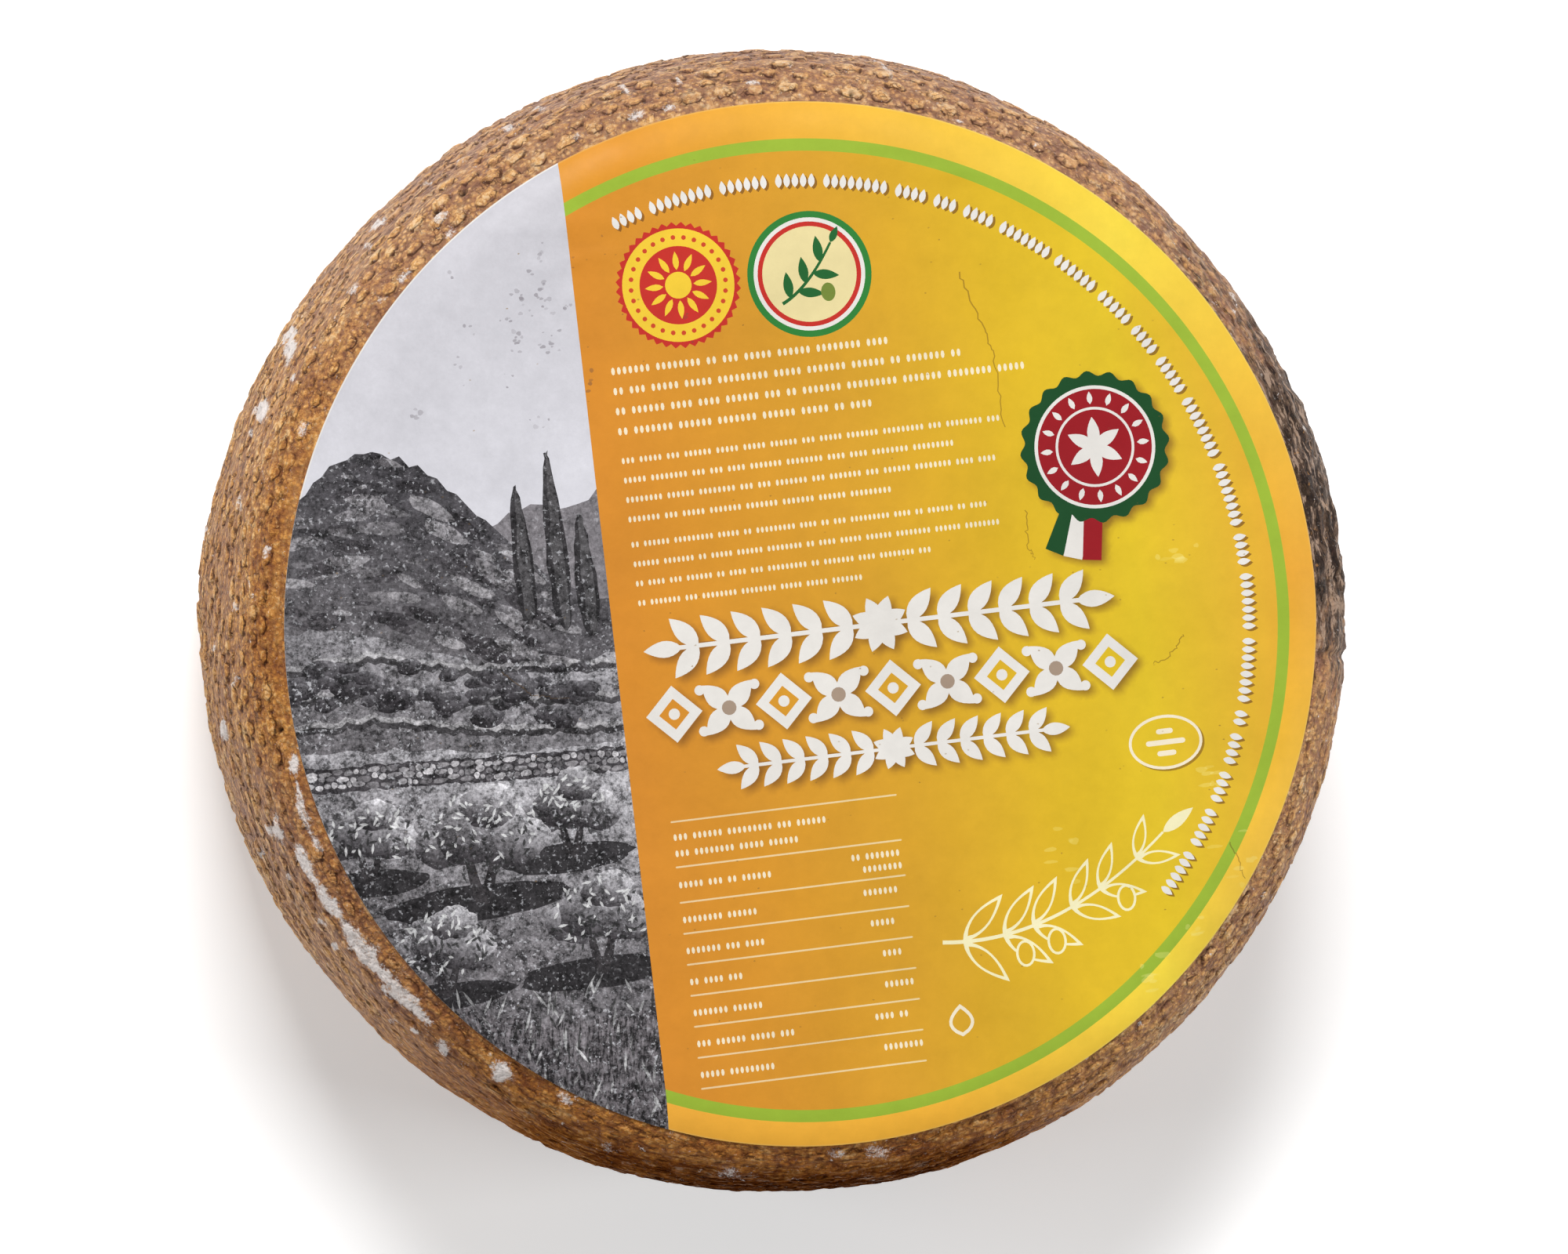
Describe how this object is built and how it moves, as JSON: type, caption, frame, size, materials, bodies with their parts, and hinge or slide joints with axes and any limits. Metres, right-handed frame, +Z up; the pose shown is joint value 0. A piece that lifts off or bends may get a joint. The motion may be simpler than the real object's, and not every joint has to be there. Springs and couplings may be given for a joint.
{
  "type": "cheese wheel",
  "caption": "Whole wheel of aged sheep's-milk cheese, lying flat, with a nubbed brown rind, bulging side, rounded shoulders and a round printed paper label on top.",
  "frame": {"origin": "centre of the base, where the wheel rests", "axes": "+Z up along the wheel's axis, with the label on top; +X roughly along the label's printed lines, read from the -Y side"},
  "size_m": [0.1997, 0.1999, 0.0825],
  "materials": {
    "rind": "dry oiled rind, ochre to dark brown, with pale mould",
    "label_paper": "satin printed paper"
  },
  "bodies": {
    "root": {"cheese_wheel": "rind", "paper_label": "label_paper"}
  },
  "joints": []
}
